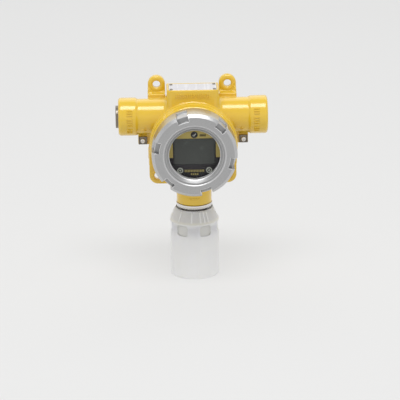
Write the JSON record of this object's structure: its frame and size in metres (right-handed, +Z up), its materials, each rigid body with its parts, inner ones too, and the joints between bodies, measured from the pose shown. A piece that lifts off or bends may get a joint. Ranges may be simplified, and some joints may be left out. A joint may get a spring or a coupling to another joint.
{
  "type": "gas detector transmitter",
  "caption": "Wall-mounted gas detector: painted casting with conduit hubs and lugs, screwed window cover over a display, and a sensor under a weather cap.",
  "frame": {"origin": "centre of the flat back of the housing, on the wall plane, at the height of the conduit axis", "axes": "+Z up, +Y into the wall, so the display faces -Y, and +X to the right of someone reading it"},
  "size_m": [0.1813, 0.107, 0.2357],
  "materials": {
    "yellow_paint": "glossy yellow coat over a die casting, with a fine cast texture under it",
    "cover_aluminium": "satin turned aluminium with bright chamfers",
    "stainless": "turned stainless steel",
    "plated_steel": "dull zinc plate",
    "label_foil": "satin foil with fine printed rules",
    "brass": "bright",
    "window_glass": "clear toughened glass",
    "black_rubber": "matt",
    "black_plastic": "fine moulded texture",
    "olive_print": "printed film, olive above and black below",
    "lcd_grey": "dark liquid crystal glass, switched off",
    "target_grey": "satin ring mark",
    "circuit_board": "solder mask",
    "block_plastic": "moulded",
    "cap_plastic": "translucent white moulding"
  },
  "bodies": {
    "housing": {"housing": "yellow_paint", "label_plate": "label_foil", "label_rivet_1": "plated_steel", "label_rivet_2": "plated_steel", "label_rivet_3": "plated_steel", "label_rivet_4": "plated_steel", "cover_oring": "black_rubber", "terminal_carrier": "black_plastic", "terminal_board": "circuit_board", "display_socket": "black_plastic", "terminal_block_1": "block_plastic", "terminal_block_2": "block_plastic", "terminal_screw_1": "brass", "terminal_screw_2": "brass", "terminal_screw_3": "brass", "terminal_screw_4": "brass", "terminal_screw_5": "brass", "terminal_screw_6": "brass", "terminal_screw_7": "brass", "terminal_screw_8": "brass", "module_screw_1": "plated_steel", "module_screw_2": "plated_steel", "sensor_socket": "stainless", "socket_oring": "black_rubber", "sensor_connector": "black_plastic", "cap_oring": "black_rubber", "sensor_harness": "black_rubber"},
    "window": {"window_gasket": "black_rubber", "window_glass": "window_glass", "glass_retaining_ring": "cover_aluminium"},
    "cover": {"cover_ring": "cover_aluminium"},
    "cover_lock": {"cover_lock_screw": "stainless"},
    "display": {"display_case": "black_plastic", "display_board": "circuit_board", "display_plug": "black_plastic", "lcd_panel": "lcd_grey", "display_fascia": "olive_print", "check_target": "black_plastic", "down_target": "target_grey", "up_target": "target_grey"},
    "plug_seal": {"plug_oring": "black_rubber"},
    "plug": {"blanking_plug": "plated_steel"},
    "left_clamp": {"left_earth_clamp": "stainless"},
    "left_screw": {"left_earth_screw": "stainless"},
    "right_clamp": {"right_earth_clamp": "stainless"},
    "right_screw": {"right_earth_screw": "stainless"},
    "sensor": {"sensor_body": "black_plastic", "sensor_pins": "brass", "sensor_mesh": "stainless"},
    "retainer": {"sensor_retainer": "stainless"},
    "retainer_lock": {"retainer_lock_screw": "stainless"},
    "cap": {"weather_cap": "cap_plastic", "cap_baffle": "cap_plastic"}
  },
  "joints": [
    {"name": "cover_travel", "type": "slide", "parent": "housing", "child": "window", "axis": [0, -1, 0], "range_m": [0, 0.0202]},
    {"name": "cover_turn", "type": "hinge", "parent": "window", "child": "cover", "pos_m": [0, -0.09, -0.029], "axis": [0, -1, 0], "range_deg": [0, 3600]},
    {"name": "cover_lock_turn", "type": "hinge", "parent": "cover", "child": "cover_lock", "pos_m": [-0.0106, -0.082, -0.0748], "axis": [-0.225, 0, -0.9744], "range_deg": [0, 720]},
    {"name": "display_pull", "type": "slide", "parent": "housing", "child": "display", "axis": [0, -1, 0], "range_m": [0, 0.0122]},
    {"name": "plug_travel", "type": "slide", "parent": "housing", "child": "plug_seal", "axis": [-1, 0, 0], "range_m": [0, 0.022]},
    {"name": "plug_turn", "type": "hinge", "parent": "plug_seal", "child": "plug", "pos_m": [-0.08, -0.035, 0], "axis": [-1, 0, 0], "range_deg": [0, 4320]},
    {"name": "left_clamp_travel", "type": "slide", "parent": "housing", "child": "left_clamp", "axis": [0, -1, 0], "range_m": [0, 0.0042]},
    {"name": "left_earth_turn", "type": "hinge", "parent": "left_clamp", "child": "left_screw", "pos_m": [-0.0603, -0.04, -0.0287], "axis": [0, -1, 0], "range_deg": [0, 2160]},
    {"name": "right_clamp_travel", "type": "slide", "parent": "housing", "child": "right_clamp", "axis": [0, -1, 0], "range_m": [0, 0.0042]},
    {"name": "right_earth_turn", "type": "hinge", "parent": "right_clamp", "child": "right_screw", "pos_m": [0.0603, -0.04, -0.0287], "axis": [0, -1, 0], "range_deg": [0, 2160]},
    {"name": "sensor_travel", "type": "slide", "parent": "housing", "child": "sensor", "axis": [0, 0, -1], "range_m": [0, 0.01508]},
    {"name": "retainer_turn", "type": "hinge", "parent": "sensor", "child": "retainer", "pos_m": [0, -0.048, -0.12], "axis": [0, 0, -1], "range_deg": [0, 3600]},
    {"name": "retainer_lock_turn", "type": "hinge", "parent": "retainer", "child": "retainer_lock", "pos_m": [0, -0.067, -0.117], "axis": [0, -1, 0], "range_deg": [0, 360]},
    {"name": "cap_pull", "type": "slide", "parent": "retainer", "child": "cap", "axis": [0, 0, -1], "range_m": [0, 0.032]}
  ],
  "couplings": [
    {"joint": "cover_travel", "follows": "cover_turn", "m_per_rad": 0.00031831},
    {"joint": "display_pull", "follows": "cover_turn", "m_per_rad": 0.00019099},
    {"joint": "plug_travel", "follows": "plug_turn", "m_per_rad": 0.00028876},
    {"joint": "left_earth_turn", "follows": "left_clamp_travel", "rad_per_m": 8970},
    {"joint": "right_earth_turn", "follows": "right_clamp_travel", "rad_per_m": 8970},
    {"joint": "sensor_travel", "follows": "retainer_turn", "m_per_rad": 0.00023873}
  ]
}
